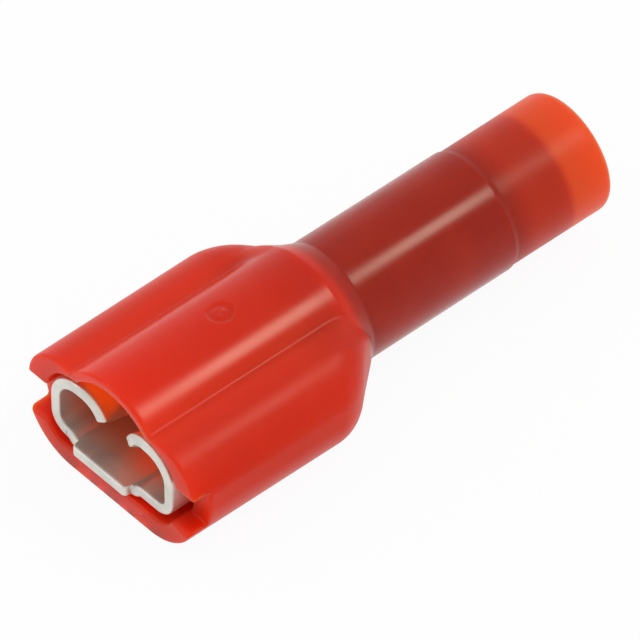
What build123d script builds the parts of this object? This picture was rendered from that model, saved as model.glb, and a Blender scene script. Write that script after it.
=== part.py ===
"""Fully insulated female push-on crimp terminal for a 4.8 x 0.8 mm flat tab and a thin wire.

Three pieces: a one-piece moulded nylon housing, the stamped and rolled receptacle contact inside it,
and the thin metal sleeve that lines the housing's barrel round the contact's wire barrel.

Frame: +X runs from the mouth to the wire end, +Z is up, and z = 0 is the flat underside.
The origin is under the middle of the overall length. All sizes are in millimetres.
"""
import math
import os

from build123d import *

# Flat tab that the terminal is made for
tab_width = 4.75
tab_thickness = 0.8

# Sheet metal of the contact, and the slack that moulded and stamped pieces have round each other
sheet = 0.4
slack = 0.08

# Receptacle, the rolled part that grips the tab; heights are outside sizes from the raised floor
tab_side_room = 0.175
mouth_height = 2.75
flare_drop = 0.25
grip_gap = 0.68
receptacle_length = 6.4
flare_length = 1.6
floor_corner = 0.57
mouth_curl = 1.11
mouth_curl_turn = 157
grip_curl = 0.93
curl_setback = 0.20

# Channel pressed down in the receptacle's floor, and the tongue in which it ends at the mouth
channel_drop = 0.22
channel_margin = 1.09
channel_shift = 0.38
channel_bend = 0.35
tongue_reach = 0.26
tongue_corner = 0.15

# Detent bump that drops into the hole of the tab
detent_x = 3.4
detent_radius = 0.85
detent_rise = 0.20

# Wire barrel of the contact, and the cradle that joins it to the receptacle
conductor_bore = 1.9
cradle_length = 2.41
cradle_wall = 1.2
wire_barrel_length = 5.0
seam_gap = 0.06

# Support sleeve, and the bare tip of the housing past its end
sleeve_wall = 0.28
sleeve_slack = 0.10
sleeve_edge = 0.08
tip_length = 1.70

# Housing
housing_length = 19.3
side_wall = 0.91
roof_wall = 0.34
floor_wall = 0.81
dome_wall = 0.40
top_corner = 1.65
bottom_corner = 2.05
dome_radius = 2.57
dome_taper = 0.92
shoulder_angle = 42
shoulder_wall = 0.75
shoulder_round = 1.8
neck_wall = 0.445
step_wall = 0.42
end_wall = 0.365
step_setback = 4.2
step_ramp = 0.22
end_round = 0.34
throat_length = 0.35
rim_wall = 0.16
rim_funnel = 0.35
notch_depth = 0.68
notch_height = 1.53
notch_floor = 1.33
lip_round = 0.13
gate_x = 4.7
gate_diameter = 0.97
gate_depth = 0.06
gate_stub = 0.5

# Worked out from the sizes above
half_sheet = sheet / 2
receptacle_half = tab_width / 2 + tab_side_room + sheet
grip_height = mouth_height - flare_drop
channel_width = tab_width - 2 * channel_margin
channel_z = floor_wall + slack
floor_z = channel_z + channel_drop
cavity_half = receptacle_half + 2.4 * slack
cavity_top = floor_z + mouth_height + slack
cavity_round = mouth_curl + half_sheet + slack
flank_z = cavity_top + roof_wall
body_half = cavity_half + side_wall
axis_z = floor_z + mouth_height - half_sheet - mouth_curl
wire_barrel_radius = conductor_bore / 2 + sheet
throat_radius = wire_barrel_radius + sleeve_slack
sleeve_bore = 2 * (wire_barrel_radius + sleeve_slack)
sleeve_radius = sleeve_bore / 2 + sleeve_wall
barrel_bore_radius = sleeve_radius + slack / 2
neck_radius = barrel_bore_radius + neck_wall
overall_length = housing_length + tongue_reach
mouth_x = tongue_reach - overall_length / 2

# Places along the terminal, from the mouth
barrel_x = receptacle_length + cradle_length
throat_x = barrel_x + slack / 2
neck_x = throat_x + (throat_radius + shoulder_wall / math.cos(math.radians(shoulder_angle))
                     - neck_radius) / math.tan(math.radians(shoulder_angle))
dome_end_x = neck_x - dome_taper
sleeve_x = throat_x + throat_length
sleeve_end_x = housing_length - tip_length
rim_x = sleeve_end_x + slack / 2
step_x = housing_length - step_setback


def along(x):
    """Plane across the terminal, x behind the mouth, whose own x is +Y and whose own y is +Z."""
    return Plane(origin=(mouth_x + x, 0, 0), x_dir=(0, 1, 0), z_dir=(1, 0, 0))


def pull(section, x, length):
    """The section, drawn in the (Y, Z) plane, pulled from x to x + length behind the mouth."""
    return extrude(along(x) * section, amount=length)


def turned(points):
    """Solid turned round the barrel's axis from its (x behind the mouth, radius) points."""
    outline = Polyline(*points, close=True)
    half = Plane(origin=(mouth_x, 0, axis_z), x_dir=(1, 0, 0), z_dir=(0, -1, 0)) * make_face(outline)
    return revolve(half, axis=Axis((0, 0, axis_z), (1, 0, 0)), revolution_arc=360)


def walk(start, steps, shift):
    """Lines and arcs of a bent strip, shift to the left of its middle line.

    A step is (length, None) for a straight stretch or (radius, turn) for a bend; left turns are positive.
    """
    heading = 0.0
    across = Vector(0, 1)
    spot = Vector(*start) + across * shift
    edges = []
    for size, turn in steps:
        ahead = Vector(math.cos(math.radians(heading)), math.sin(math.radians(heading)))
        if turn is None:
            edge = Line(spot, spot + ahead * size)
        else:
            edge = JernArc(spot, ahead, size - math.copysign(shift, shift * turn), turn)
            heading += turn
        edges.append(edge)
        spot = edge @ 1
    return edges


def strip(start, steps):
    """Face of a bent strip of sheet metal that starts at a point of its middle line."""
    left = walk(start, steps, half_sheet)
    right = walk(start, steps, -half_sheet)
    ends = [Line(left[0] @ 0, right[0] @ 0), Line(left[-1] @ 1, right[-1] @ 1)]
    return make_face(Wire([*right, *left, *ends]).edges())


def receptacle_half_section(height, curl, turn, channel_run):
    """Half of the receptacle's section: channel, raised floor, corner, side and rolled curl."""
    bend = math.degrees(math.acos(1 - channel_drop / (2 * channel_bend)))
    bend_run = 2 * channel_bend * math.sin(math.radians(bend))
    floor_run = receptacle_half - half_sheet - floor_corner - channel_run - bend_run
    side_run = height - sheet - floor_corner - curl
    steps = [
        (channel_run, None),
        (channel_bend, bend),
        (channel_bend, -bend),
        (floor_run, None),
        (floor_corner, 90),
        (side_run, None),
        (curl, turn),
    ]
    return strip((0, channel_z + half_sheet), steps)


def grip_turn():
    """Turn of the curl where it grips, from the height at which its edge has to end."""
    centre_z = floor_z + grip_height - half_sheet - grip_curl
    edge_z = floor_z + sheet + grip_gap
    return 180 + math.degrees(math.asin((centre_z - edge_z) / (grip_curl + half_sheet)))


def receptacle():
    """The rolled receptacle: a short flare at the mouth, then the stretch that grips the tab."""
    halves = []
    for side, shift in ((1, channel_shift), (-1, -channel_shift)):
        run = channel_width / 2 + shift
        mouth = receptacle_half_section(mouth_height, mouth_curl, mouth_curl_turn, run)
        grip = receptacle_half_section(grip_height, grip_curl, grip_turn(), run)
        half = loft([along(0) * mouth, along(flare_length) * grip], ruled=True)
        half += pull(grip, flare_length, receptacle_length - flare_length)
        halves.append(half if side > 0 else mirror(half, about=Plane.XZ))
    body = halves[0] + halves[1]
    return body - curl_bevels() + tongue() + detent()


def curl_bevels():
    """Wedges that set the curls' ends back from the mouth, where the blank's corners are cut off."""
    inner = receptacle_half - half_sheet - mouth_curl
    bevels = Part()
    for side in (1, -1):
        wedge = make_face(Polyline((0, 0), (0, side * inner), (-1, side * inner), (-1, 0), close=True))
        wedge += make_face(Polyline((0, side * inner), (curl_setback, 0), (0, 0), close=True))
        place = Location((mouth_x, 0, floor_z + sheet + tab_thickness / 2))
        bevels += extrude(place * wedge, amount=mouth_height)
    return bevels


def tongue():
    """The channel's own floor, a little longer than the rest of the receptacle at the mouth."""
    blank = Box(
        2 * tongue_reach,
        channel_width,
        sheet,
        align=(Align.CENTER, Align.CENTER, Align.MIN),
    )
    front = blank.edges().filter_by(Axis.Z).sort_by(Axis.X)[:2]
    blank = fillet(front, radius=tongue_corner)
    return Location((mouth_x, channel_shift, channel_z)) * blank


def detent():
    """Pressed-up bump in the channel that drops into the tab's hole."""
    top = floor_z + sheet + detent_rise
    floor_top = channel_z + sheet
    rise = top - floor_top
    ball = (detent_radius**2 + rise**2) / (2 * rise)
    bump = Location((mouth_x + detent_x, 0, top - ball)) * Sphere(ball, rotation=(90, 0, 0))
    keep = Location((mouth_x + detent_x, 0, floor_top - half_sheet)) * Box(
        3 * detent_radius, 3 * detent_radius, sheet + rise, align=(Align.CENTER, Align.CENTER, Align.MIN)
    )
    return bump & keep


def cradle():
    """Open trough that narrows from the receptacle's floor and rises round the wire barrel."""
    walls = Part()
    for inset in (0, sheet):
        wide = 2 * (receptacle_half - inset)
        tall = 2 * (axis_z - floor_z - inset)
        trough = Pos(0, axis_z) * RectangleRounded(wide, tall, floor_corner + half_sheet - inset)
        round_end = Pos(0, axis_z) * Circle(wire_barrel_radius - inset)
        shape = loft([along(receptacle_length) * trough, along(barrel_x) * round_end], ruled=True)
        walls = shape if inset == 0 else walls - shape
    rear_z = axis_z + wire_barrel_radius
    side_line = Polyline(
        (mouth_x + receptacle_length, floor_z + cradle_wall),
        (mouth_x + barrel_x, rear_z),
        (mouth_x + receptacle_length, rear_z + mouth_height),
        close=True,
    )
    above = extrude(Plane.XZ * make_face(side_line), amount=body_half, both=True)
    return walls - above


def wire_barrel_half_section():
    """Half of the rolled wire barrel, whose edges almost meet in a seam along its top."""
    middle = wire_barrel_radius - half_sheet
    turn = 180 - math.degrees(seam_gap / 2 / middle)
    return strip((0, axis_z - middle), [(middle, turn)])


def receptacle_contact():
    """Receptacle, cradle and wire barrel, stamped and rolled from one strip."""
    body = receptacle()
    half = pull(wire_barrel_half_section(), barrel_x, wire_barrel_length)
    return body + cradle() + half + mirror(half, about=Plane.XZ)


def support_sleeve():
    """Plain tube with eased edges."""
    tube = turned([
        (sleeve_x, sleeve_bore / 2),
        (sleeve_x, sleeve_radius),
        (sleeve_end_x, sleeve_radius),
        (sleeve_end_x, sleeve_bore / 2),
    ])
    return chamfer(tube.edges().filter_by(GeomType.CIRCLE), length=sleeve_edge)


def rounded_section(half_width, low, high, top, bottom):
    """Face across the body, with one radius for both top corners and one for both bottom corners."""
    middle_z = (low + high) / 2
    block = Location((0, middle_z)) * Rectangle(2 * half_width, high - low)
    corners = block.vertices().sort_by(Axis.Y)
    block = fillet(corners[:2], radius=bottom)
    corners = [v for v in block.vertices() if v.Y > high - 0.001]
    return fillet(corners, radius=top)


def shoulder_cone(wall):
    """Cone of the shoulders, wall inside the outer one, with the space in front of it."""
    slope = math.tan(math.radians(shoulder_angle))
    neck = neck_radius - wall / math.cos(math.radians(shoulder_angle))
    wide = body_half + 1
    start = neck_x - (wide - neck) / slope
    return turned([(-1, 0), (-1, wide), (start, wide), (neck_x + neck / slope, 0)])


def housing_outside():
    """Flat body with sloping shoulders, the dome along its top, and the round barrel."""
    section = rounded_section(body_half, 0, flank_z, top_corner, bottom_corner)
    flat = pull(section, 0, housing_length) & shoulder_cone(0)
    flat = fillet([e for e in flat.edges() if on_shoulder(e)], radius=shoulder_round)
    round_part = turned([
        (0, 0),
        (0, dome_radius),
        (dome_end_x, dome_radius),
        (neck_x, neck_radius),
        (step_x, barrel_bore_radius + step_wall),
        (step_x + step_ramp, barrel_bore_radius + end_wall),
        (housing_length, barrel_bore_radius + end_wall),
        (housing_length, 0),
    ])
    end_edge = round_part.edges().filter_by(GeomType.CIRCLE).sort_by(Axis.X)[-1]
    round_part = fillet(end_edge, radius=end_round)
    above_floor = Box(
        2 * overall_length, 4 * body_half, 4 * body_half, align=(Align.CENTER, Align.CENTER, Align.MIN)
    )
    return flat + (round_part & above_floor)


def on_shoulder(edge):
    """True for an edge of the flat body that runs between its sides and its sloping shoulders."""
    return edge.geom_type != GeomType.LINE and edge.bounding_box().min.X > mouth_x + 1


def housing_inside():
    """The space for the contact, the throat, the barrel's bore and the funnel at the wire end."""
    room = rounded_section(cavity_half, floor_wall, cavity_top, cavity_round, floor_corner + sheet)
    space = pull(room, -1, 1 + neck_x) + pull(dome_room(), -1, 1 + neck_x)
    space = space & shoulder_cone(shoulder_wall)
    bore = turned([
        (throat_x - 0.5, 0),
        (throat_x - 0.5, throat_radius),
        (sleeve_x, throat_radius),
        (sleeve_x, barrel_bore_radius),
        (rim_x, barrel_bore_radius),
        (rim_x, barrel_bore_radius - rim_wall),
        (housing_length - rim_funnel, barrel_bore_radius - rim_wall),
        (housing_length, barrel_bore_radius - rim_wall + rim_funnel / 2),
        (housing_length + 1, barrel_bore_radius - rim_wall + rim_funnel / 2),
        (housing_length + 1, 0),
    ])
    return space + bore


def dome_room():
    """Section of the hollow under the dome."""
    circle = Location((0, axis_z)) * Circle(dome_radius - dome_wall)
    above = Location((0, axis_z + dome_radius)) * Rectangle(4 * dome_radius, 2 * dome_radius)
    return circle & above


def side_notches():
    """Slots cut back into both side walls at the mouth."""
    height = Location((mouth_x, 0, notch_floor))
    block = Box(
        2 * notch_depth,
        4 * body_half,
        notch_height,
        align=(Align.CENTER, Align.CENTER, Align.MIN),
    )
    return height * block


def gate_mark():
    """Shallow ring round the stub where the moulding's gate was cut off, on top of the dome."""
    upwards = (Align.CENTER, Align.CENTER, Align.MIN)
    recess = Cylinder(gate_diameter / 2, 1, align=upwards)
    stub = Cylinder(gate_stub / 2, gate_depth / 2, align=upwards)
    return Location((mouth_x + gate_x, 0, axis_z + dome_radius - gate_depth)) * (recess - stub)


def insulating_housing():
    """One-piece moulded housing with its hollow, rounded lips, notches and gate mark."""
    body = housing_outside() - housing_inside()
    lips = [e for e in body.edges() if e.bounding_box().max.X < mouth_x + lip_round / 2]
    return fillet(lips, radius=lip_round) - side_notches() - gate_mark()


pieces = {
    "insulating_housing": insulating_housing,
    "receptacle_contact": receptacle_contact,
    "support_sleeve": support_sleeve,
}

os.makedirs("parts", exist_ok=True)
for name, make in pieces.items():
    export_step(make(), f"parts/{name}.step")
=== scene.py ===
"""Looks of the insulated female crimp terminal: materials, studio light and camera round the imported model.

Everything is in metres in the model's own frame: +X from the mouth to the wire end, +Z up from the
flat underside. Sizes are written in millimetres and turned into metres by MM.
"""
import math

import bpy
import numpy as np
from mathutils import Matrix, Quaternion, Vector


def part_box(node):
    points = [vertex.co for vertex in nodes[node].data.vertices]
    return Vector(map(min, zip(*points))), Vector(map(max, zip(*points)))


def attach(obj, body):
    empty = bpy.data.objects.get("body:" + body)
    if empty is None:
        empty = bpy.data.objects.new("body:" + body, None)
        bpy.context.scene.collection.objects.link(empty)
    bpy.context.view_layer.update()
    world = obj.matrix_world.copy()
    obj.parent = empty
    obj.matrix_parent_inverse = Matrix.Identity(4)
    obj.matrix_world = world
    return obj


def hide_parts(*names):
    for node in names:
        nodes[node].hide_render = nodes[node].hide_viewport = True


MM = 0.001
TINY = 1e-9

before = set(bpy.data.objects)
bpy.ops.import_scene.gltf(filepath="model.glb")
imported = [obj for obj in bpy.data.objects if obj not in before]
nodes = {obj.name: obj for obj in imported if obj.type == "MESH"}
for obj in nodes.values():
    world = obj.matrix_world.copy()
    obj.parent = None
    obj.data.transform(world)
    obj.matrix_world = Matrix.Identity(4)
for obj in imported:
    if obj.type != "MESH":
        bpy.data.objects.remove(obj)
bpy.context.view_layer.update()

# Camera, solved from the photograph: no perspective, and this many millimetres across the picture
AZIMUTH = -39.5
ELEVATION = 46.54
ROLL = -1.75
PICTURE_WIDTH = 20.331
PICTURE_CENTRE = (-0.576, 0.223, 1.733)
CAMERA_DISTANCE = 150

# Studio: strength of the walls' and the ceiling's light and the heights between which they fade, the
# floor's colour and the share of it that is a plain white, and the lamps with direction, size and power
WALL_LIGHT = 0.88
CEILING_LIGHT = 0.76
CEILING_FADE = (0.15, 0.65)
FLOOR_HALF = 400
FLOOR_GREY = 0.9
FLOOR_WHITE = 0.94
LAMP_DISTANCE = 250
LAMPS = {
    "key": ((0.44, -0.37, 0.82), (64, 50), 0.12),
    "front": ((-0.70, 0.53, 0.41), (60, 60), 0.05),
}

# Colours of the nylon: over the hollow; painted light where the crease beside the dome lets more light
# through;
# painted shade over the metal, darkest before the step; painted light at the bare tip; a painted glow on the
# dome's inside; and of its faint clouds
DOME_RED = (0.83, 0.014, 0.002, 1)
FLANK_RED = (0.62, 0.016, 0.002, 1)
CREASE_PAINTED_LIGHT_RED = (0.95, 0.022, 0.003, 1)
BARREL_PAINTED_SHADE_RED = (0.34, 0.008, 0.003, 1)
REAR_RED = (0.60, 0.018, 0.004, 1)
TIP_PAINTED_LIGHT_ORANGE = (0.80, 0.070, 0.010, 1)
INNER_PAINTED_GLOW_ORANGE = (1.0, 0.30, 0.02, 1)
CLOUD_RED = (0.80, 0.05, 0.012, 1)
CLOUD_SHARE = 0.10

# Colours of the tin plating: bare; deeper inside the receptacle a warm tone, partly tarnish and partly
# painted shade and painted red light from the nylon; and on top of the curls a painted glow for the light
# that comes through the dome; DULL_TIN is what its clouds take off
PALE_TIN = (0.74, 0.72, 0.66, 1)
WARM_TIN_TARNISH_AND_PAINTED_LIGHT = (0.96, 0.42, 0.24, 1)
ORANGE_TIN_PAINTED_GLOW = (1.0, 0.24, 0.03, 1)
DULL_TIN = 0.82
PAINTED_CURL_GLOW = 0.13

# Roughness of the nylon, from its smoothest to its roughest clouds: the glossy dome and barrel, what is
# added to that where their highlight fades, and the matt flanks and rear of the barrel
GLOSS = (0.185, 0.21)
GLOSS_FADE = 0.052
MATT = (0.36, 0.42)

# Shape of the housing, in millimetres; each place along it is a distance behind the mouth
low, high = (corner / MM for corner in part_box("insulating_housing"))
sleeve_low, sleeve_high = (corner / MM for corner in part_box("support_sleeve"))
contact_low, contact_high = (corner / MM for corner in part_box("receptacle_contact"))
MOUTH_X = low.x
HOUSING_LENGTH = high.x - low.x
BODY_HALF = high.y
AXIS_Z = (sleeve_low.z + sleeve_high.z) / 2
DOME_RADIUS = high.z - AXIS_Z
FLANK_Z = 4.28
TOP_CORNER = 1.65
BOTTOM_CORNER = 2.13
SHOULDER_ANGLE = 42
SHOULDER_ROUND = 1.8
SHOULDER_START = 5.8
SHOULDER_TOP = 0.24
SHOULDER_SIDE = 0.05
SHOULDER_RAMP = (0.2, 1.5)
NECK_X = 9.121
NECK_RADIUS = 2.215
DOME_END_X = NECK_X - 0.92
STEP_X = HOUSING_LENGTH - 4.2
STEP_RADIUS = 2.19
STEP_RAMP = 0.2
END_RADIUS = 2.135
END_ROUND = 0.34
CREASE_Y = 1.9
CREASE_REACH = 0.06
CREASE_FILL = 0.45
FILL_START = DOME_END_X - 1.6
FILL_TOP = DOME_END_X - 0.2

# Hollow of the housing
CAVITY_HALF = contact_high.y + 0.192
FLOOR_WALL = contact_low.z - 0.08
CAVITY_TOP = 3.94
CAVITY_ROUND = 1.39
CAVITY_BOTTOM = 0.97
CAVITY_BLEND = 0.3
DOME_WALL = 0.40
SHOULDER_WALL = 0.75
CAVITY_TAPER_X = 6.6
SLEEVE_X = sleeve_low.x - low.x
THROAT_X = SLEEVE_X - 0.35
THROAT_RADIUS = 1.45
BORE_RADIUS = 1.77
RIM_X = sleeve_high.x - low.x + 0.04
RIM_RADIUS = 1.61
RIM_FUNNEL = 0.35

# Mouth of the housing: notches in both sides and rounded lips
NOTCH_DEPTH = 0.68
NOTCH_FLOOR = 1.33
NOTCH_HEIGHT = 1.53
LOWER_NOTCH_LIP = 0.22
UPPER_NOTCH_LIP = 0.10
UPPER_LIP_DROP = {-1: 0.0, 1: 0.13}
NOTCH_CORNER = 0.12
NOTCH_FAN = 1.0
FAN_END = 1.25
SLEEVE_BLUR = 0.2
LIP_ROUND = 0.11
LOWER_LIP = 0.10
LIP_SHARE = 0.42

# Layout of the housing's mesh: the section in which the mouth's outline is measured and the points on it,
# the search for its surfaces, where the wall's directions are made level, how evenly its inner points are
# spread, and the points per millimetre of the front edge, with more at the creases and the gate
OUTLINE_X = 1.0
OUTLINE_POINTS = 7201
BISECTIONS = 40
FARTHEST = 7.0
THICKEST = 2.0
STEEP_SIDES = (0.75, 0.93)
OUTER_PART = 0.6
INNER_MEAN = 20
EVEN_SHARE = 0.08
WALL_MEAN = 6
EDGE_POINTS = 9
CREASE_POINTS = 12
GATE_POINTS = 9
BOTTOM_POINTS = -5
NOTCH_SPACING = 0.08
ROUND_STEPS = 7
GATE_REACH = 0.65
SHARP_ANGLE = 40

# Contact: sheet, receptacle, channel with its tongue, detent, cradle and wire barrel
HALF_SHEET = 0.2
SHEET_ROUND = 0.07
CONTACT_HALF = contact_high.y
FLOOR_Z = contact_low.z + 0.22
FLOOR_CORNER = 0.57
MOUTH_HEIGHT = 2.75
GRIP_HEIGHT = 2.5
GRIP_CURL = 0.93
GRIP_GAP = 0.68
MOUTH_CURL = {1: 1.11, -1: 1.08}
MOUTH_TURN = {1: 160, -1: 154}
CURL_SETBACK = 0.20
CURL_END = 0.07
FLARE_LENGTH = 1.6
RECEPTACLE_LENGTH = 6.4
CHANNEL_WIDTH = 2.57
CHANNEL_SHIFT = 0.38
CHANNEL_DROP = 0.22
CHANNEL_BEND = 0.35
TONGUE_REACH = MOUTH_X - contact_low.x
TONGUE_CORNER = 0.15
TONGUE_SIDE = 0.02
DETENT_X = 3.4
DETENT_RADIUS = 0.85
DETENT_RISE = 0.42
CRADLE_WALL = 1.2
CRADLE_SHARE = 0.7
BARREL_X = RECEPTACLE_LENGTH + 2.41
BARREL_LENGTH = 5.0
BARREL_RADIUS = 1.35
SEAM_GAP = 0.06

# Ring and stub that the moulding's gate left on the dome
GATE_X = 4.78
GATE_Y = 0.15
GATE_RADIUS = 0.485
GATE_STUB = 0.27
GATE_EDGE = 0.07
GATE_DEPTH = 0.06


def direction(azimuth, elevation):
    """Unit vector from the object towards a viewer; azimuth 0 stands on the -Y side, 90 on the +X side."""
    a, e = math.radians(azimuth), math.radians(elevation)
    return Vector((math.sin(a) * math.cos(e), -math.cos(a) * math.cos(e), math.sin(e)))


def add_camera():
    """Camera that shows the object as the photograph does."""
    data = bpy.data.cameras.new("camera")
    data.type = "ORTHO"
    data.ortho_scale = PICTURE_WIDTH * MM
    data.clip_start = 1 * MM
    data.clip_end = 1000 * MM
    camera = bpy.data.objects.new("camera", data)
    bpy.context.scene.collection.objects.link(camera)
    back = direction(AZIMUTH, ELEVATION)
    camera.rotation_mode = "QUATERNION"
    level = (-back).to_track_quat("-Z", "Y")
    camera.rotation_quaternion = level @ Quaternion((0, 0, 1), math.radians(ROLL))
    camera.location = Vector(PICTURE_CENTRE) * MM + back * CAMERA_DISTANCE * MM
    bpy.context.scene.camera = camera


class Graph:
    """Short way to write a material's node tree."""

    def __init__(self, name):
        self.material = bpy.data.materials.new(name)
        self.material.use_nodes = True
        self.tree = self.material.node_tree
        self.tree.nodes.clear()
        self.output = self.tree.nodes.new("ShaderNodeOutputMaterial")

    def node(self, kind, settings=(), **inputs):
        made = self.tree.nodes.new("ShaderNode" + kind)
        for name, value in dict(settings).items():
            setattr(made, name, value)
        for name, value in inputs.items():
            self.put(made.inputs[name.replace("_", " ")], value)
        return made

    def put(self, socket, value):
        if isinstance(value, bpy.types.NodeSocket):
            self.tree.links.new(value, socket)
        else:
            socket.default_value = value

    def math(self, operation, *values):
        made = self.tree.nodes.new("ShaderNodeMath")
        made.operation = operation
        for socket, value in zip(made.inputs, values):
            self.put(socket, value)
        return made.outputs[0]

    def ramp(self, value, low, high, start=0.0, end=1.0):
        """Smooth step of a value from start at low to end at high."""
        made = self.node("MapRange", {"interpolation_type": "SMOOTHSTEP"})
        for name, number in (
            ("Value", value), ("From Min", low), ("From Max", high), ("To Min", start), ("To Max", end)
        ):
            self.put(made.inputs[name], number)
        return made.outputs["Result"]

    def mix(self, share, first, second):
        made = self.node("Mix", {"data_type": "RGBA"})
        for index, value in ((0, share), (6, first), (7, second)):
            self.put(made.inputs[index], value)
        return made.outputs[2]

    def place(self):
        """Coordinates in the row frame, in metres, and their three parts."""
        spot = self.node("TexCoord").outputs["Object"]
        parts = self.node("SeparateXYZ", Vector=spot)
        return spot, parts.outputs[0], parts.outputs[1], parts.outputs[2]

    def noise(self, spot, scale, detail):
        return self.node("TexNoise", Vector=spot, Scale=scale, Detail=detail).outputs["Fac"]

    def bump(self, height, distance):
        return self.node("Bump", Height=height, Distance=distance, Strength=1.0).outputs["Normal"]


def behind_mouth(g, x, low, high, start=0.0, end=1.0):
    """Ramp between two distances behind the mouth, in millimetres."""
    return g.ramp(x, (MOUTH_X + low) * MM, (MOUTH_X + high) * MM, start, end)


def nylon_colour(g, cloud, x, y, height, from_axis, flank):
    """Red of the nylon from what lies behind it, as painted light and painted shade."""
    # Painted light: a brighter red beside the crease, for the light that the crease lets through the nylon
    aside = g.math("ABSOLUTE", y)
    painted_crease_light = g.math(
        "MULTIPLY",
        g.ramp(aside, (CREASE_Y - 1.1) * MM, (CREASE_Y - 0.1) * MM),
        g.ramp(aside, (CREASE_Y + 0.05) * MM, (CREASE_Y + 1.0) * MM, 1.0, 0.0),
    )
    painted_crease_light = g.math("MULTIPLY", painted_crease_light, g.ramp(height, 0, 0.8 * MM))
    # Painted shade: a darker red over the metal inside, which takes away the light that would pass through
    # the nylon
    painted_metal_shade = g.math(
        "MAXIMUM",
        behind_mouth(g, x, SHOULDER_START, DOME_END_X, 0.0, 0.5),
        behind_mouth(g, x, DOME_END_X - 0.1, DOME_END_X + 0.6),
    )
    beyond_step = behind_mouth(g, x, STEP_X, STEP_X + 1.2)
    # Painted light: orange at the bare tip, where no sleeve lies behind the nylon
    sleeve_end = sleeve_high.x - MOUTH_X
    painted_tip_light = behind_mouth(g, x, sleeve_end - SLEEVE_BLUR, sleeve_end + SLEEVE_BLUR)
    # Painted glow: orange on the dome's inside, for the light that comes through its wall
    under_dome = g.math(
        "MULTIPLY",
        g.ramp(from_axis, (DOME_RADIUS - DOME_WALL) * MM, (DOME_RADIUS - 0.12) * MM, 1.0, 0.0),
        g.ramp(height, 0.4 * MM, 1.0 * MM),
    )
    in_room = g.math(
        "MULTIPLY", behind_mouth(g, x, 0.2, 0.5), behind_mouth(g, x, 4, CAVITY_TAPER_X, 1.0, 0.0)
    )
    colour = g.mix(flank, DOME_RED, FLANK_RED)
    colour = g.mix(painted_crease_light, colour, CREASE_PAINTED_LIGHT_RED)
    colour = g.mix(painted_metal_shade, colour, g.mix(beyond_step, BARREL_PAINTED_SHADE_RED, REAR_RED))
    colour = g.mix(painted_tip_light, colour, TIP_PAINTED_LIGHT_ORANGE)
    colour = g.mix(g.math("MULTIPLY", under_dome, in_room), colour, INNER_PAINTED_GLOW_ORANGE)
    return g.mix(g.ramp(cloud, 0.3, 0.7, 0.0, CLOUD_SHARE), colour, CLOUD_RED)


def nylon_roughness(g, cloud, x, flank):
    """Glossy dome and barrel, whose highlights fade at both ends, and matt flanks and end."""
    fade = g.math(
        "MAXIMUM",
        behind_mouth(g, x, 0.5, 4.5, 1.0, 0.0),
        behind_mouth(g, x, DOME_END_X - 1.4, DOME_END_X),
    )
    fade = g.math("MULTIPLY", fade, behind_mouth(g, x, NECK_X, NECK_X + 3, 1.0, 0.0))
    fade = g.math("MAXIMUM", fade, behind_mouth(g, x, STEP_X - 1.8, STEP_X))
    gloss = g.math("ADD", g.ramp(cloud, 0.2, 0.8, *GLOSS), g.math("MULTIPLY", fade, GLOSS_FADE))
    matt = g.math(
        "MAXIMUM",
        g.math("MULTIPLY", flank, behind_mouth(g, x, DOME_END_X, NECK_X, 1.0, 0.0)),
        behind_mouth(g, x, STEP_X - 0.02, STEP_X + 0.02),
    )
    more = g.math("SUBTRACT", g.ramp(cloud, 0.2, 0.8, *MATT), gloss)
    return g.math("ADD", gloss, g.math("MULTIPLY", matt, more))


def red_nylon():
    """Translucent red nylon: bright over the hollow, with painted shade over the metal, and painted light
    beside the crease, on the dome's inside and at the bare tip.
    """
    g = Graph("red_nylon_with_painted_light")
    spot, x, y, z = g.place()
    height = g.math("SUBTRACT", z, AXIS_Z * MM)
    from_axis = g.math("SQRT", g.math("ADD", g.math("MULTIPLY", y, y), g.math("MULTIPLY", height, height)))
    flank = g.ramp(from_axis, (DOME_RADIUS + 0.002) * MM, (DOME_RADIUS + 0.012) * MM)
    cloud = g.noise(spot, 500, 3)
    shader = g.node("BsdfPrincipled")
    g.put(shader.inputs["Base Color"], nylon_colour(g, cloud, x, y, height, from_axis, flank))
    g.put(shader.inputs["Roughness"], nylon_roughness(g, cloud, x, flank))
    for name, value in (
        ("Subsurface Weight", 1.0),
        ("Subsurface Radius", (1.0, 0.35, 0.12)),
        ("Subsurface Scale", 3.1 * MM),
        ("Specular IOR Level", 0.28),
        ("Specular Tint", (1.0, 0.9, 0.70, 1)),
        ("Sheen Weight", 0.05),
        ("Sheen Roughness", 0.4),
        ("Sheen Tint", (1.0, 0.5, 0.4, 1)),
    ):
        shader.inputs[name].default_value = value
    g.put(g.output.inputs["Surface"], shader.outputs[0])
    return g.material


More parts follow.
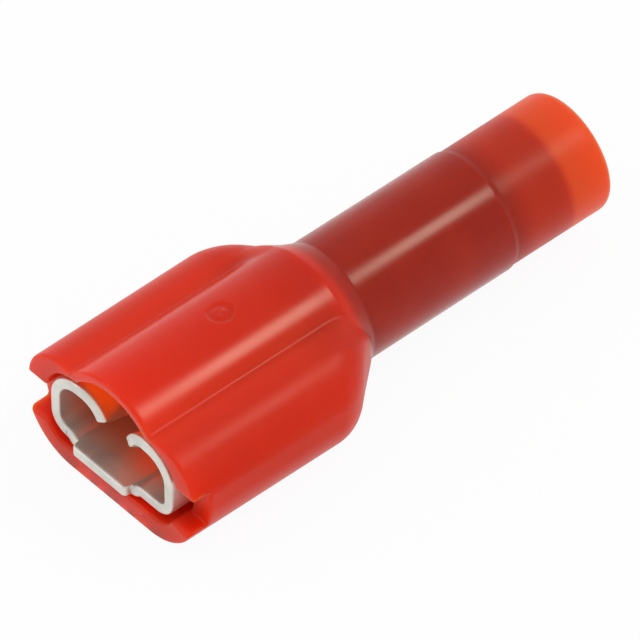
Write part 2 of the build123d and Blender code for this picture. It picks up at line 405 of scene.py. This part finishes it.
def tin(name, bare, inside, above, painted_glow_strength):
    """Satin tin plating on rolled sheet: fine drawing lines and soft clouds, with one colour for its bare
    ends, one for the inside that is partly tarnish and partly painted shade and red light, and a painted
    glow in colour and emission for the tops of the curls."""
    g = Graph(name)
    spot, x, _, z = g.place()
    stretched = g.node("Mapping", Vector=spot)
    stretched.inputs["Scale"].default_value = (0.12, 1, 1)
    lines = g.noise(stretched.outputs[0], 9000, 3)
    cloud = g.noise(spot, 900, 3)
    dull = tuple(DULL_TIN * part for part in bare[:3]) + (1,)
    colour = g.mix(g.ramp(cloud, 0.3, 0.7), bare, dull)
    # Inside the receptacle: a warm tone, partly tarnish and partly painted shade and painted red light from
    # the nylon
    colour = g.mix(behind_mouth(g, x, 0.1, 1.4), colour, inside)
    upwards = g.node("SeparateXYZ", Vector=g.node("NewGeometry").outputs["Normal"]).outputs[2]
    # Painted glow on the curls' tops, as colour and emission, for the light that comes through the dome
    painted_glow_area = g.math("MULTIPLY", g.ramp(z, 2.7 * MM, 3.3 * MM), behind_mouth(g, x, 0.1, 0.4))
    painted_glow_area = g.math("MULTIPLY", painted_glow_area, g.ramp(upwards, -0.1, 0.3))
    shader = g.node("BsdfPrincipled")
    g.put(shader.inputs["Base Color"], g.mix(painted_glow_area, colour, above))
    g.put(shader.inputs["Roughness"], g.ramp(lines, 0.25, 0.75, 0.38, 0.46))
    g.put(shader.inputs["Normal"], g.bump(lines, 0.002 * MM))
    g.put(shader.inputs["Emission Strength"], g.math("MULTIPLY", painted_glow_area, painted_glow_strength))
    shader.inputs["Emission Color"].default_value = above
    shader.inputs["Metallic"].default_value = 0.85
    g.put(g.output.inputs["Surface"], shader.outputs[0])
    return g.material


def filleted(a, b, facing, radius):
    """Larger of two distances, with a round of this radius where they meet; facing is the cosine of the
    angle between the two surfaces' normals."""
    a_in, b_in = a + radius, b + radius
    facing = np.clip(facing, -0.98, 0.98)
    away = np.sqrt(np.maximum(a_in**2 + b_in**2 - 2 * facing * a_in * b_in, 0) / (1 - facing**2))
    between = (a_in > facing * b_in) & (b_in > facing * a_in)
    return np.where(between, away - radius, np.maximum(a, b))


def smooth_min(a, b, reach):
    """Smaller of two distances, with the crease between them filled over reach."""
    share = np.clip(0.5 + 0.5 * (b - a) / reach, 0, 1)
    return b + (a - b) * share - reach * share * (1 - share)


def step_up(value, low, high):
    """0 below low, 1 above high and a smooth rise between them."""
    t = np.clip((value - low) / (high - low), 0, 1)
    return t * t * (3 - 2 * t)


def shouldered_box(x, y, z, half, low, high, top, bottom, neck, rounding):
    """Distance to a body with one radius for its top corners and one for its bottom corners, which is cut
    off by the shoulders' cone with this radius at the neck; the cone is a little fuller at the top."""
    middle = (low + high) / 2
    corner = np.where(z > middle, top, bottom)
    across = np.abs(y) - half + corner
    up = np.abs(z - middle) - (high - low) / 2 + corner
    outside = np.hypot(np.maximum(across, 0), np.maximum(up, 0))
    box = np.minimum(np.maximum(across, up), 0) + outside - corner
    in_corner = (across > 0) & (up > 0)
    size = np.maximum(outside, TINY)
    facing_y = np.where(in_corner, across / size, across > up) * np.sign(y)
    facing_z = np.where(in_corner, up / size, across <= up) * np.sign(z - middle)
    radius = np.maximum(np.hypot(y, z - AXIS_Z), TINY)
    slope = math.radians(SHOULDER_ANGLE)
    rise = SHOULDER_TOP * np.maximum(z - AXIS_Z, 0) / radius - SHOULDER_SIDE
    rise = rise * step_up(NECK_X - x, *SHOULDER_RAMP)
    cone = (radius - neck - rise - (NECK_X - x) * math.tan(slope)) * math.cos(slope)
    facing = (facing_y * y + facing_z * (z - AXIS_Z)) / radius * math.cos(slope)
    return filleted(box, cone, facing, rounding)


def outer_field(x, y, z):
    """Below zero inside the housing's outer shape."""
    radius = np.hypot(y, z - AXIS_Z)
    flat = shouldered_box(
        x, y, z, BODY_HALF, 0, FLANK_Z, TOP_CORNER, BOTTOM_CORNER, NECK_RADIUS, SHOULDER_ROUND
    )
    places = [0, DOME_END_X, NECK_X, STEP_X]
    sizes = [DOME_RADIUS, DOME_RADIUS, NECK_RADIUS, STEP_RADIUS]
    size = np.interp(x, places, sizes) - (STEP_RADIUS - END_RADIUS) * step_up(x, STEP_X, STEP_X + STEP_RAMP)
    fill = CREASE_FILL * step_up(x, FILL_START, FILL_TOP) * (1 - step_up(x, FILL_TOP, NECK_X))
    fill = np.where(y > 0, fill, 0)
    return np.maximum(smooth_min(flat, radius - size, CREASE_REACH + fill), -z)


def inner_field(x, y, z):
    """Below zero inside the hollow for the contact."""
    radius = np.hypot(y, z - AXIS_Z)
    neck = NECK_RADIUS - SHOULDER_WALL / math.cos(math.radians(SHOULDER_ANGLE))
    room = shouldered_box(
        x, y, z, CAVITY_HALF, FLOOR_WALL, CAVITY_TOP, CAVITY_ROUND, CAVITY_BOTTOM, neck, CAVITY_BLEND
    )
    slope = math.radians(SHOULDER_ANGLE)
    cone = (radius - neck - (NECK_X - x) * math.tan(slope)) * math.cos(slope)
    dome = np.maximum(np.maximum(radius - DOME_RADIUS + DOME_WALL, AXIS_Z - z), cone)
    return smooth_min(room, dome, CREASE_REACH)


def bisect(inside, shape, far):
    """Distances between 0 and far at which a test that is true at 0 becomes false."""
    low, high = np.zeros(shape), np.full(shape, far)
    for _ in range(BISECTIONS):
        middle = (low + high) / 2
        near = inside(middle)
        low, high = np.where(near, middle, low), np.where(near, high, middle)
    return (low + high) / 2


def reach(field, x, angle):
    """Radius from the barrel's axis to a field's surface; angle 0 is upwards, a quarter turn towards +Y."""

    def inside(radius):
        return field(x, radius * np.sin(angle), AXIS_Z + radius * np.cos(angle)) < 0

    return bisect(inside, np.broadcast(x, angle).shape, FARTHEST)


def spot(x, radius, angle):
    """Points at a distance x behind the mouth, in the model's own frame but in millimetres."""
    x, radius, angle = np.broadcast_arrays(x, radius, angle)
    return np.stack([MOUTH_X + x, radius * np.sin(angle), AXIS_Z + radius * np.cos(angle)], -1)


def moving_mean(values, reach, padding):
    """Mean of each value and as many as reach on both sides of it."""
    count = 2 * reach + 1
    return np.convolve(np.pad(values, reach, padding), np.ones(count) / count, "valid")


class Mouth:
    """The mouth's outline: for a length s along it from the middle of the underside, the directions from
    the axis in which the outer surface and the matching point of the inner surface lie."""

    def __init__(self):
        self.outer = np.linspace(-math.pi, math.pi, OUTLINE_POINTS)
        radius = reach(outer_field, OUTLINE_X, self.outer)
        self.y, self.z = radius * np.sin(self.outer), AXIS_Z + radius * np.cos(self.outer)
        self.s = np.concatenate([[0], np.cumsum(np.hypot(np.diff(self.y), np.diff(self.z)))])
        self.length = self.s[-1]
        across, up = self.outward()

        def in_wall(depth):
            return inner_field(OUTLINE_X, self.y - depth * across, self.z - depth * up) > 0

        depth = bisect(in_wall, self.y.shape, THICKEST)
        inner = np.arctan2(self.y - depth * across, self.z - depth * up - AXIS_Z)
        inner[0], inner[-1] = -math.pi, math.pi
        inner = np.maximum.accumulate(moving_mean(inner, INNER_MEAN, "edge"))
        self.inner = (1 - EVEN_SHARE) * inner + EVEN_SHARE * self.outer
        self.inner[0], self.inner[-1] = -math.pi, math.pi

    def outward(self):
        """Directions out of the wall: the outer surface's normals, and level ones along the steep sides."""
        step = 1e-4
        y, z = self.y, self.z
        across = outer_field(OUTLINE_X, y + step, z) - outer_field(OUTLINE_X, y - step, z)
        up = outer_field(OUTLINE_X, y, z + step) - outer_field(OUTLINE_X, y, z - step)
        size = np.hypot(across, up)
        across, up = across / size, up / size
        up = up * (1 - step_up(np.abs(across), *STEEP_SIDES))
        size = np.hypot(across, up)
        return across / size, up / size

    def at(self, s, angles):
        turns = np.floor(s / self.length)
        return np.interp(s - turns * self.length, self.s, angles) + 2 * math.pi * turns

    def outer_at(self, s):
        return self.at(s, self.outer)

    def inner_at(self, s):
        return self.at(s, self.inner)

    def s_at(self, side, z):
        """Length s at which the outline passes a height on the flank of one side."""
        there = np.sign(self.y) == side
        order = np.argsort(self.z[there])
        steep = np.abs(self.y[there][order]) > OUTER_PART * BODY_HALF
        return float(np.interp(z, self.z[there][order][steep], self.s[there][order][steep]))


def front_curve(mouth):
    """Front edge of the wall as points (s, x) with notches on both sides, the direction into the wall at
    each point, and where the notches start and end."""
    notches = []
    for side in (-1, 1):
        top = NOTCH_FLOOR + NOTCH_HEIGHT - UPPER_LIP_DROP[side]
        edges = sorted(mouth.s_at(side, z) for z in (NOTCH_FLOOR, top))
        notches.append(edges)
    turns = np.radians(np.linspace(0, 90, ROUND_STEPS))
    points, into = [], []

    def line(start, end, normal, spacing):
        count = max(2, round(math.dist(start, end) / spacing))
        for t in np.arange(count) / count:
            points.append((start[0] + (end[0] - start[0]) * t, start[1] + (end[1] - start[1]) * t))
            into.append(normal)

    def lip(start, end):
        """Front edge between two notches, with more points over the creases, the dome and the corners."""
        s = np.linspace(start, end, 2001)
        angle = mouth.outer_at(s)
        radius = reach(outer_field, OUTLINE_X, angle)
        y, z = radius * np.sin(angle), AXIS_Z + radius * np.cos(angle)
        crease = np.exp(-(((np.abs(y) - CREASE_Y) / 0.25) ** 2)) * (z > AXIS_Z)
        gate = (np.abs(y) < GATE_REACH) * (z > AXIS_Z)
        bottom = (z < 0.02) * (np.abs(y) < BODY_HALF - BOTTOM_CORNER)
        weight = EDGE_POINTS + CREASE_POINTS * crease + GATE_POINTS * gate + BOTTOM_POINTS * bottom
        total = np.concatenate([[0], np.cumsum((weight[1:] + weight[:-1]) / 2 * np.diff(s))])
        count = round(total[-1])
        for value in np.interp(np.arange(count) / count * total[-1], total, s):
            points.append((value, 0.0))
            into.append((0.0, 1.0))

    def bend(centre, radius, start, sign, inwards):
        """Quarter turn round a centre; inwards is 1 where the wall lies on the centre's side."""
        for turn in turns[:-1]:
            angle = start + sign * turn
            way = (math.cos(angle), math.sin(angle))
            points.append((centre[0] + radius * way[0], centre[1] + radius * way[1]))
            into.append((-inwards * way[0], -inwards * way[1]))

    quarter = math.pi / 2
    depth, inner = NOTCH_DEPTH, NOTCH_CORNER
    start = 0
    rounds = [(LOWER_NOTCH_LIP, UPPER_NOTCH_LIP), (UPPER_NOTCH_LIP, LOWER_NOTCH_LIP)]
    for (first, last), (before, after) in zip(notches, rounds):
        lip(start, first - before)
        bend((first - before, before), before, -quarter, 1, 1)
        line((first, before), (first, depth - inner), (-1.0, 0.0), NOTCH_SPACING)
        bend((first + inner, depth - inner), inner, math.pi, -1, -1)
        line((first + inner, depth), (last - inner, depth), (0.0, 1.0), 1.25 * NOTCH_SPACING)
        bend((last - inner, depth - inner), inner, quarter, -1, -1)
        line((last, depth - inner), (last, after), (1.0, 0.0), NOTCH_SPACING)
        bend((last + after, after), after, math.pi, 1, 1)
        start = last + after
    lip(start, mouth.length)
    points, into = np.array(points), np.array(into)
    below = np.minimum(points[:, 0], mouth.length - points[:, 0]) < notches[0][0]
    points[below, 1] -= LOWER_LIP * (1 - step_up(points[below, 1], 0, NOTCH_DEPTH))
    return points, into, notches


def spread(points, notches):
    """Where each column of the mesh runs on behind the notches: the front edge's own s away from them,
    and evenly shared out beside them."""
    along = np.concatenate([[0], np.cumsum(np.linalg.norm(np.diff(points, axis=0), axis=1))])
    target = points[:, 0].copy()
    for first, last in notches:
        low = int(np.argmin(np.abs(points[:, 0] - (first - NOTCH_FAN)) + 9 * points[:, 1]))
        high = int(np.argmin(np.abs(points[:, 0] - (last + NOTCH_FAN)) + 9 * points[:, 1]))
        inside = slice(low, high + 1)
        share = (along[inside] - along[low]) / (along[high] - along[low])
        target[inside] = points[low, 0] + share * (points[high, 0] - points[low, 0])
    return target


def gate_relief(x, angle):
    """How far the gate's ring and stub lie below the dome."""
    away = np.hypot(x - GATE_X, DOME_RADIUS * np.sin(angle) - GATE_Y + 9 * (np.cos(angle) < 0))
    ring = 1 - step_up(away, GATE_RADIUS - GATE_EDGE, GATE_RADIUS)
    stub = 1 - step_up(away, GATE_STUB - GATE_EDGE, GATE_STUB)
    torn = 0.5 + 0.25 * np.sin(23 * x + 3 * np.sin(31 * angle)) + 0.25 * np.sin(41 * angle - 9 * x)
    return GATE_DEPTH * (ring - stub * torn)


def housing_rows():
    """Closed mesh of the housing as rows of points, from the wire end over the outside to the mouth and
    back along the inside."""
    mouth = Mouth()
    points, into, notches = front_curve(mouth)
    target = spread(points, notches)

    def surface(field, angles, s, x):
        angle = angles(s)
        radius = reach(field, x, angle)
        if field is outer_field:
            radius = radius - gate_relief(x, angle)
        return spot(x, radius, angle)

    def outer(s, x):
        return surface(outer_field, mouth.outer_at, s, x)

    def inner(s, x):
        return surface(inner_field, mouth.inner_at, s, x)

    front_outer, front_inner = outer(points[:, 0], points[:, 1]), inner(points[:, 0], points[:, 1])
    wall = np.linalg.norm(front_outer - front_inner, axis=1)
    wall = np.minimum(wall, moving_mean(wall, WALL_MEAN, "wrap"))
    lip = np.minimum(LIP_ROUND, LIP_SHARE * wall)

    def wrapped(offset, depth):
        """Row at a distance offset behind the front edge, depth of the way through the wall."""
        s = points[:, 0] + into[:, 0] * offset
        x = points[:, 1] + into[:, 1] * offset
        return outer(s, x) * (1 - depth[:, None]) + inner(s, x) * depth[:, None]

    def fan(make, share):
        s = (points[:, 0] + into[:, 0] * lip) * (1 - share) + target * share
        x = (points[:, 1] + into[:, 1] * lip) * (1 - share) + FAN_END * share
        return make(s, x)

    spans = [
        (FAN_END, GATE_X - GATE_REACH, 0.3),
        (GATE_X - GATE_REACH, GATE_X + GATE_REACH, 0.05),
        (GATE_X + GATE_REACH, SHOULDER_START, 0.25),
        (SHOULDER_START, DOME_END_X, 0.06),
        (DOME_END_X, NECK_X, 0.0613),
        (NECK_X, NECK_X + 0.3, 0.06),
        (NECK_X + 0.3, STEP_X - 0.1, 0.5),
        (STEP_X - 0.1, STEP_X, 0.05),
        (STEP_X, STEP_X + STEP_RAMP, 0.055),
        (STEP_X + STEP_RAMP, STEP_X + STEP_RAMP + 0.1, 0.05),
        (STEP_X + STEP_RAMP + 0.1, HOUSING_LENGTH - END_ROUND, 0.45),
    ]
    rows = []
    round_turns = np.radians(np.linspace(0, 90, ROUND_STEPS))
    for turn in round_turns:
        rows.append(wrapped(lip * (1 - math.sin(turn)), lip * (1 - math.cos(turn)) / wall))
    rows.append(wrapped(0 * lip, 0.5 + 0 * lip))
    for turn in round_turns[::-1]:
        rows.append(wrapped(lip * (1 - math.sin(turn)), 1 - lip * (1 - math.cos(turn)) / wall))
    rows = rows[::-1]
    for share in np.linspace(0, 1, 9)[1:-1]:
        rows.append(fan(outer, share))
    for start, end, spacing in spans:
        for x in np.linspace(start, end, max(1, round((end - start) / spacing)), endpoint=False):
            rows.append(outer(target, np.full_like(target, x)))
    angle = mouth.outer_at(target)
    for turn in np.radians(np.linspace(0, 90, 10)):
        x = HOUSING_LENGTH - END_ROUND * (1 - math.sin(turn))
        rows.append(spot(x, END_RADIUS - END_ROUND * (1 - math.cos(turn)), angle))
    bore = [
        (HOUSING_LENGTH - 0.02, RIM_RADIUS + RIM_FUNNEL / 2 - 0.03),
        (HOUSING_LENGTH - RIM_FUNNEL, RIM_RADIUS),
        (RIM_X + 0.6, RIM_RADIUS),
        (RIM_X, RIM_RADIUS),
        (RIM_X, BORE_RADIUS),
        (SLEEVE_X, BORE_RADIUS),
        (SLEEVE_X, THROAT_RADIUS),
        (THROAT_X, THROAT_RADIUS),
    ]
    angle = mouth.inner_at(target)
    for x, radius in bore:
        rows.append(spot(x, radius, angle))
    for x in np.linspace(THROAT_X, CAVITY_TAPER_X, 22)[1:]:
        rows.append(inner(target, np.full_like(target, x)))
    for x in np.linspace(CAVITY_TAPER_X, FAN_END, 11)[1:]:
        rows.append(inner(target, np.full_like(target, x)))
    for share in np.linspace(1, 0, 9)[1:-1]:
        rows.append(fan(inner, share))
    return rows


def closed_mesh(name, rows):
    """Piece with a closed mesh of quads from rows of points, in millimetres; rows and columns close."""
    count, width = len(rows), len(rows[0])
    corner = np.arange(count * width).reshape(count, width)
    right = np.roll(corner, -1, 1)
    faces = np.stack([corner, np.roll(corner, -1, 0), np.roll(right, -1, 0), right], -1).reshape(-1, 4)
    return mesh_piece(name, np.concatenate(rows), faces.tolist())


def mesh_piece(name, points, faces):
    """Piece with a mesh from points in millimetres; those that no face uses are left out."""
    used = np.zeros(len(points), bool)
    used[sorted({index for face in faces for index in face})] = True
    number = np.cumsum(used) - 1
    faces = [[int(number[index]) for index in face] for face in faces]
    mesh = bpy.data.meshes.new(name)
    mesh.from_pydata((points[used] * MM).tolist(), [], faces)
    mesh.shade_smooth()
    mesh.set_sharp_from_angle(angle=math.radians(SHARP_ANGLE))
    piece = bpy.data.objects.new(name, mesh)
    bpy.context.scene.collection.objects.link(piece)
    return piece


def settle(piece, node, material):
    """Puts a finished piece in the place of a node of the model."""
    piece.data.materials.append(material)
    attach(piece, "root")
    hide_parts(node)


def bent_strip(start, steps, counts):
    """Points along a bent strip's middle line. A step is (length, None) for a straight stretch or
    (radius, turn in degrees) for a bend to the left; each has its own number of points."""
    spot_y, spot_z = start
    heading = 0.0
    line = [np.array([[spot_y, spot_z]])]
    for (size, turn), count in zip(steps, counts):
        share = np.arange(1, count + 1) / count
        if turn is None:
            ahead = np.stack([np.full(count, math.cos(heading)), np.full(count, math.sin(heading))], -1)
            made = line[-1][-1] + ahead * (size * share)[:, None]
        else:
            side = math.copysign(1, turn)
            angle = heading + math.radians(turn) * share
            centre = line[-1][-1] + size * side * np.array([-math.sin(heading), math.cos(heading)])
            made = centre + size * side * np.stack([np.sin(angle), -np.cos(angle)], -1)
            heading = float(angle[-1])
        line.append(made)
    return np.concatenate(line)


def receptacle_steps(height, curl, turn, run):
    """Middle line of half the receptacle: channel, raised floor, corner, side up to the cradle's height,
    the rest of the side, and the rolled curl with its eased end."""
    bend = math.degrees(math.acos(1 - CHANNEL_DROP / (2 * CHANNEL_BEND)))
    bend_run = 2 * CHANNEL_BEND * math.sin(math.radians(bend))
    floor_run = CONTACT_HALF - HALF_SHEET - FLOOR_CORNER - run - bend_run
    side_run = height - 2 * HALF_SHEET - FLOOR_CORNER - curl
    end_turn = math.degrees(CURL_END / curl)
    return [
        (run - TONGUE_CORNER, None),
        (TONGUE_CORNER, None),
        (TONGUE_SIDE, None),
        (CHANNEL_BEND, bend),
        (CHANNEL_BEND, -bend),
        (floor_run - TONGUE_SIDE, None),
        (FLOOR_CORNER, 90),
        (CRADLE_SHARE * side_run, None),
        ((1 - CRADLE_SHARE) * side_run, None),
        (curl, turn - end_turn),
        (curl, end_turn),
    ]


RECEPTACLE_COUNTS = (5, 6, 1, 5, 5, 4, 8, 3, 2, 22, 5)
CRADLE_COLUMN = sum(RECEPTACLE_COUNTS[:8])


def grip_turn():
    """Turn of the curl where it grips the tab, from the height at which its end has to stand."""
    centre = FLOOR_Z + GRIP_HEIGHT - HALF_SHEET - GRIP_CURL
    end = FLOOR_Z + 2 * HALF_SHEET + GRIP_GAP
    return 180 + math.degrees(math.asin((centre - end) / (GRIP_CURL + HALF_SHEET)))


def receptacle_line(x, side):
    """Middle line of half the receptacle at x behind the mouth, from the channel to the curl's end."""
    run = CHANNEL_WIDTH / 2 + side * CHANNEL_SHIFT
    lines = []
    for height, curl, turn in (
        (MOUTH_HEIGHT, MOUTH_CURL[side], MOUTH_TURN[side]),
        (GRIP_HEIGHT, GRIP_CURL, grip_turn()),
    ):
        steps = receptacle_steps(height, curl, turn, run)
        lines.append(bent_strip((0, contact_low.z + HALF_SHEET), steps, RECEPTACLE_COUNTS))
    share = min(max(x / FLARE_LENGTH, 0), 1)
    line = lines[0] * (1 - share) + lines[1] * share
    return line * (side, 1)


def cradle_line(x, side):
    """Middle line of one half of the cradle and, behind it, of the wire barrel."""
    flat = CONTACT_HALF - HALF_SHEET - FLOOR_CORNER
    wall = CRADLE_WALL - HALF_SHEET - FLOOR_CORNER
    steps = [(flat, None), (FLOOR_CORNER, 90), (wall, None)]
    trough = bent_strip((0, FLOOR_Z + HALF_SHEET), steps, (40, 16, 8))
    middle = BARREL_RADIUS - HALF_SHEET
    turn = 180 - math.degrees(SEAM_GAP / 2 / middle)
    barrel = bent_strip((0, AXIS_Z - middle), [(middle, turn)], [64])
    shares = []
    for line in (trough, barrel):
        lengths = np.concatenate([[0], np.cumsum(np.linalg.norm(np.diff(line, axis=0), axis=1))])
        shares.append(lengths / lengths[-1])
    own = receptacle_line(RECEPTACLE_LENGTH, side)[: CRADLE_COLUMN + 1] * (side, 1)
    lengths = np.concatenate([[0], np.cumsum(np.linalg.norm(np.diff(own, axis=0), axis=1))])
    share = lengths / lengths[-1]
    points = []
    for line, at in zip((trough, barrel), shares):
        points.append(np.stack([np.interp(share, at, line[:, 0]), np.interp(share, at, line[:, 1])], -1))
    blend = min((x - RECEPTACLE_LENGTH) / (BARREL_X - RECEPTACLE_LENGTH), 1)
    return (points[0] * (1 - blend) + points[1] * blend) * (side, 1)


def whole_line(make, x):
    """Both halves of a middle line as one, from the -Y end to the +Y end."""
    return np.concatenate([make(x, -1)[:0:-1], make(x, 1)])


def front_edge():
    """How far each column of the receptacle starts behind the mouth: the tongue's rounded end, the plain
    edge, and the curls' ends that are set back."""
    edge = []
    for side in (-1, 1):
        line = receptacle_line(0, side) * (side, 1)
        run = CHANNEL_WIDTH / 2 + side * CHANNEL_SHIFT
        into_corner = np.clip(line[:, 0] - run + TONGUE_CORNER, 0, TONGUE_CORNER)
        tongue = -TONGUE_REACH + TONGUE_CORNER - np.sqrt(TONGUE_CORNER**2 - into_corner**2)
        column = np.arange(len(line))
        front = np.where(column <= sum(RECEPTACLE_COUNTS[:2]), tongue, 0)
        inner = CONTACT_HALF - HALF_SHEET - MOUTH_CURL[side]
        curled = column > sum(RECEPTACLE_COUNTS[:9])
        front = np.where(curled, CURL_SETBACK * np.clip(1 - line[:, 0] / inner, 0, 1), front)
        edge.append(front[:0:-1] if side < 0 else front)
    return np.concatenate(edge)


def facing(points):
    """Unit normals of a grid of points."""
    along, across = np.gradient(points, axis=0), np.gradient(points, axis=1)
    normal = np.cross(along, across)
    return normal / np.linalg.norm(normal, axis=-1, keepdims=True)


def contact_grid():
    """Middle surface of the contact's strip, its normals, its half thickness and the cells that it has."""
    front = front_edge()
    near = [0, 0.008, 0.03, 0.07, 0.12, 0.2, 0.35, 0.55, 0.9, 1.25, FLARE_LENGTH]
    stations = near + list(np.linspace(FLARE_LENGTH, DETENT_X - 1.0, 4)[1:])
    stations += list(np.linspace(DETENT_X - 1.0, DETENT_X + 1.0, 21)[1:])
    stations += list(np.linspace(DETENT_X + 1.0, RECEPTACLE_LENGTH, 6)[1:])
    rows = []
    for station in stations:
        keep = 1 - step_up(station, 0.0, 0.55)
        line = whole_line(receptacle_line, station)
        x = station + front * keep
        rise = np.clip(1 - ((x - DETENT_X) ** 2 + line[:, 0] ** 2) / DETENT_RADIUS**2, 0, None)
        lift = DETENT_RISE * rise * (3 - 2 * np.minimum(rise * 1.5, 1)) * (line[:, 1] < FLOOR_Z + 0.3)
        rows.append(np.stack([MOUTH_X + x, line[:, 0], line[:, 1] + lift], -1))
    receptacle = np.array(rows)
    middle = sum(RECEPTACLE_COUNTS)
    columns = slice(middle - CRADLE_COLUMN, middle + CRADLE_COLUMN + 1)
    behind = list(np.linspace(RECEPTACLE_LENGTH, BARREL_X, 13)[1:])
    behind += list(np.linspace(BARREL_X, BARREL_X + BARREL_LENGTH, 12)[1:])
    rows = []
    for x in behind:
        line = whole_line(cradle_line, x)
        rows.append(np.stack([np.full(len(line), MOUTH_X + x), line[:, 0], line[:, 1]], -1))
    rear = np.concatenate([receptacle[-1:, columns], np.array(rows)])
    shape = (len(stations) + len(behind), 2 * middle + 1, 3)
    points, normals = np.zeros(shape), np.zeros(shape)
    points[: len(stations)], normals[: len(stations)] = receptacle, facing(receptacle)
    points[len(stations):, columns] = rear[1:]
    normals[len(stations):, columns] = facing(rear)[1:]
    cells = np.ones((shape[0] - 1, shape[1] - 1), bool)
    cells[len(stations) - 1:] = False
    cells[len(stations) - 1:, columns.start:columns.stop - 1] = True
    from_front = np.concatenate([stations, np.full(len(behind), 9.0)])[:, None]
    widths = np.linalg.norm(np.diff(receptacle[0], axis=0), axis=1)
    from_end = np.concatenate([[0], np.cumsum(widths)])
    from_end = np.minimum(from_end, from_end[-1] - from_end)[None, :]
    inset = np.clip(np.minimum(from_front, from_end), 0, SHEET_ROUND)
    half = HALF_SHEET - SHEET_ROUND + np.sqrt(SHEET_ROUND**2 - (SHEET_ROUND - inset) ** 2)
    return points, normals, half, cells


def contact_piece(name):
    """Closed mesh of the contact: both faces of the strip and the rim between them."""
    points, normals, half, cells = contact_grid()
    count, width = points.shape[:2]
    upper = (points + normals * half[..., None]).reshape(-1, 3)
    lower = (points - normals * half[..., None]).reshape(-1, 3)
    corner = np.arange(count * width).reshape(count, width)
    quads = np.stack([corner[:-1, :-1], corner[:-1, 1:], corner[1:, 1:], corner[1:, :-1]], -1)[cells]
    edges = {}
    for quad in quads.tolist():
        for a, b in zip(quad, quad[1:] + quad[:1]):
            edges[(a, b)] = True
    rim = [(a, b) for a, b in edges if (b, a) not in edges]
    far = len(upper)
    faces = quads[:, ::-1].tolist() + (quads + far).tolist()
    faces += [[a, b, b + far, a + far] for a, b in rim]
    return mesh_piece(name, np.concatenate([upper, lower]), faces)


def dress(node, material):
    """Gives a node of the model a finish through its material slots."""
    for slot in nodes[node].material_slots:
        slot.material = material


def add_lamp(name, towards, size, power):
    """Soft rectangular lamp that shines at the object from a direction."""
    towards = Vector(towards).normalized()
    data = bpy.data.lights.new(name, "AREA")
    data.shape = "RECTANGLE"
    data.size, data.size_y = size[0] * MM, size[1] * MM
    data.energy = power
    lamp = bpy.data.objects.new(name, data)
    bpy.context.scene.collection.objects.link(lamp)
    lamp.location = Vector((0, 0, 2 * MM)) + towards * LAMP_DISTANCE * MM
    lamp.rotation_mode = "QUATERNION"
    lamp.rotation_quaternion = towards.to_track_quat("Z", "Y")


def add_floor():
    """Pale floor: white to the camera, yet with the object's soft shadow."""
    half = FLOOR_HALF * MM
    corners = [(-half, -half, 0), (half, -half, 0), (half, half, 0), (-half, half, 0)]
    mesh = bpy.data.meshes.new("floor")
    mesh.from_pydata(corners, [], [(0, 1, 2, 3)])
    floor = bpy.data.objects.new("floor", mesh)
    bpy.context.scene.collection.objects.link(floor)
    g = Graph("floor_finish")
    diffuse = g.node("BsdfDiffuse", Color=(FLOOR_GREY, FLOOR_GREY, FLOOR_GREY, 1))
    white = g.node("Emission", Strength=1.0)
    path = g.node("LightPath")
    seen = g.math("MAXIMUM", path.outputs["Is Camera Ray"], path.outputs["Is Glossy Ray"])
    seen = g.math("MAXIMUM", seen, path.outputs["Is Transmission Ray"])
    mixed = g.node("MixShader")
    g.put(mixed.inputs[0], g.math("MULTIPLY", seen, FLOOR_WHITE))
    g.put(mixed.inputs[1], diffuse.outputs[0])
    g.put(mixed.inputs[2], white.outputs[0])
    g.put(g.output.inputs["Surface"], mixed.outputs[0])
    mesh.materials.append(g.material)


def add_world():
    """Pale studio: light walls and a darker ceiling."""
    world = bpy.data.worlds.new("studio")
    world.use_nodes = True
    bpy.context.scene.world = world
    tree = world.node_tree
    background = tree.nodes["Background"]
    background.inputs["Color"].default_value = (1, 1, 1, 1)
    place = tree.nodes.new("ShaderNodeTexCoord")
    parts = tree.nodes.new("ShaderNodeSeparateXYZ")
    fade = tree.nodes.new("ShaderNodeMapRange")
    fade.interpolation_type = "SMOOTHSTEP"
    fade.inputs["From Min"].default_value, fade.inputs["From Max"].default_value = CEILING_FADE
    fade.inputs["To Min"].default_value = WALL_LIGHT
    fade.inputs["To Max"].default_value = CEILING_LIGHT
    tree.links.new(place.outputs["Generated"], parts.inputs[0])
    tree.links.new(parts.outputs[2], fade.inputs["Value"])
    tree.links.new(fade.outputs["Result"], background.inputs["Strength"])


add_camera()
add_floor()
add_world()
for lamp_name, (towards, size, power) in LAMPS.items():
    add_lamp(lamp_name, towards, size, power)
settle(closed_mesh("housing", housing_rows()), "insulating_housing", red_nylon())
tin_with_painted_light = tin("tin_with_painted_light", PALE_TIN, WARM_TIN_TARNISH_AND_PAINTED_LIGHT, ORANGE_TIN_PAINTED_GLOW, PAINTED_CURL_GLOW)
settle(contact_piece("contact"), "receptacle_contact", tin_with_painted_light)
dress("support_sleeve", tin("sleeve_finish", PALE_TIN, PALE_TIN, PALE_TIN, 0.0))
bpy.context.scene.view_settings.view_transform = "Standard"
